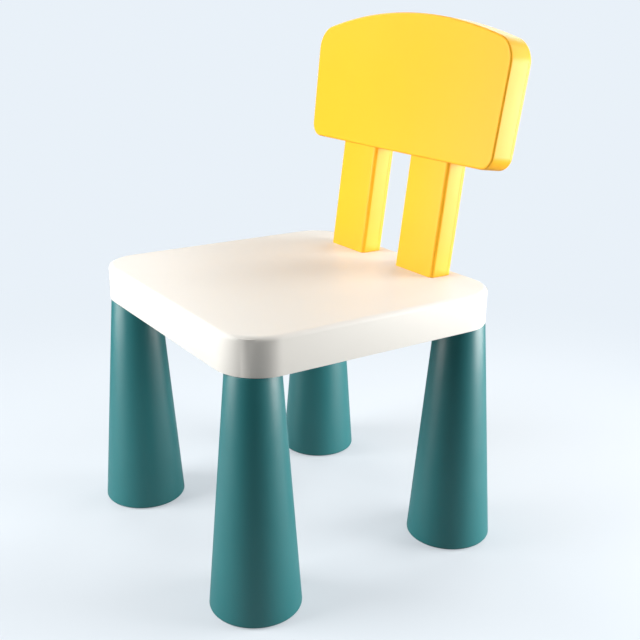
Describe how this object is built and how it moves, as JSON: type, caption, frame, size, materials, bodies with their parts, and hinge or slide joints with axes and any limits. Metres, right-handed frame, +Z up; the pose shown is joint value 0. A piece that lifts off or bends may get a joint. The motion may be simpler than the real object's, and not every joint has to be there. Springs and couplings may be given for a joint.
{
  "type": "child's chair",
  "caption": "Child's plug-together plastic chair: square seat with a deep skirt, flared cone legs and a rounded two-post backrest.",
  "frame": {"origin": "on the floor, under the middle of the seat", "axes": "+Z up; the front of the seat faces -Y and the backrest is at +Y; +X to the right of someone who looks at the front, and left and right in the names are as that person sees them"},
  "size_m": [0.3226, 0.3128, 0.5014],
  "materials": {
    "seat_plastic": "satin",
    "leg_plastic": "satin",
    "backrest_plastic": "satin",
    "pad_rubber": "matt",
    "screw_steel": "zinc plated"
  },
  "bodies": {
    "seat": {"seat": "seat_plastic"},
    "leg_front_left": {"leg_front_left": "leg_plastic", "foot_cap_front_left": "leg_plastic", "foot_pad_front_left": "pad_rubber"},
    "leg_front_right": {"leg_front_right": "leg_plastic", "foot_cap_front_right": "leg_plastic", "foot_pad_front_right": "pad_rubber"},
    "leg_rear_left": {"leg_rear_left": "leg_plastic", "foot_cap_rear_left": "leg_plastic", "foot_pad_rear_left": "pad_rubber"},
    "leg_rear_right": {"leg_rear_right": "leg_plastic", "foot_cap_rear_right": "leg_plastic", "foot_pad_rear_right": "pad_rubber"},
    "backrest": {"backrest_front": "backrest_plastic", "backrest_rear": "backrest_plastic", "backrest_screws": "screw_steel"}
  },
  "joints": [
    {"name": "leg_front_left_twist", "type": "hinge", "parent": "seat", "child": "leg_front_left", "pos_m": [-0.11995, -0.1127, 0.225], "axis": [0, 0, -1], "range_deg": [0, 35]},
    {"name": "leg_front_right_twist", "type": "hinge", "parent": "seat", "child": "leg_front_right", "pos_m": [0.11995, -0.1127, 0.225], "axis": [0, 0, -1], "range_deg": [0, 35]},
    {"name": "leg_rear_left_twist", "type": "hinge", "parent": "seat", "child": "leg_rear_left", "pos_m": [-0.11995, 0.1127, 0.225], "axis": [0, 0, -1], "range_deg": [0, 35]},
    {"name": "leg_rear_right_twist", "type": "hinge", "parent": "seat", "child": "leg_rear_right", "pos_m": [0.11995, 0.1127, 0.225], "axis": [0, 0, -1], "range_deg": [0, 35]},
    {"name": "backrest_lift", "type": "slide", "parent": "seat", "child": "backrest", "axis": [0, 0.1253, 0.9921], "range_m": [0, 0.03]}
  ]
}
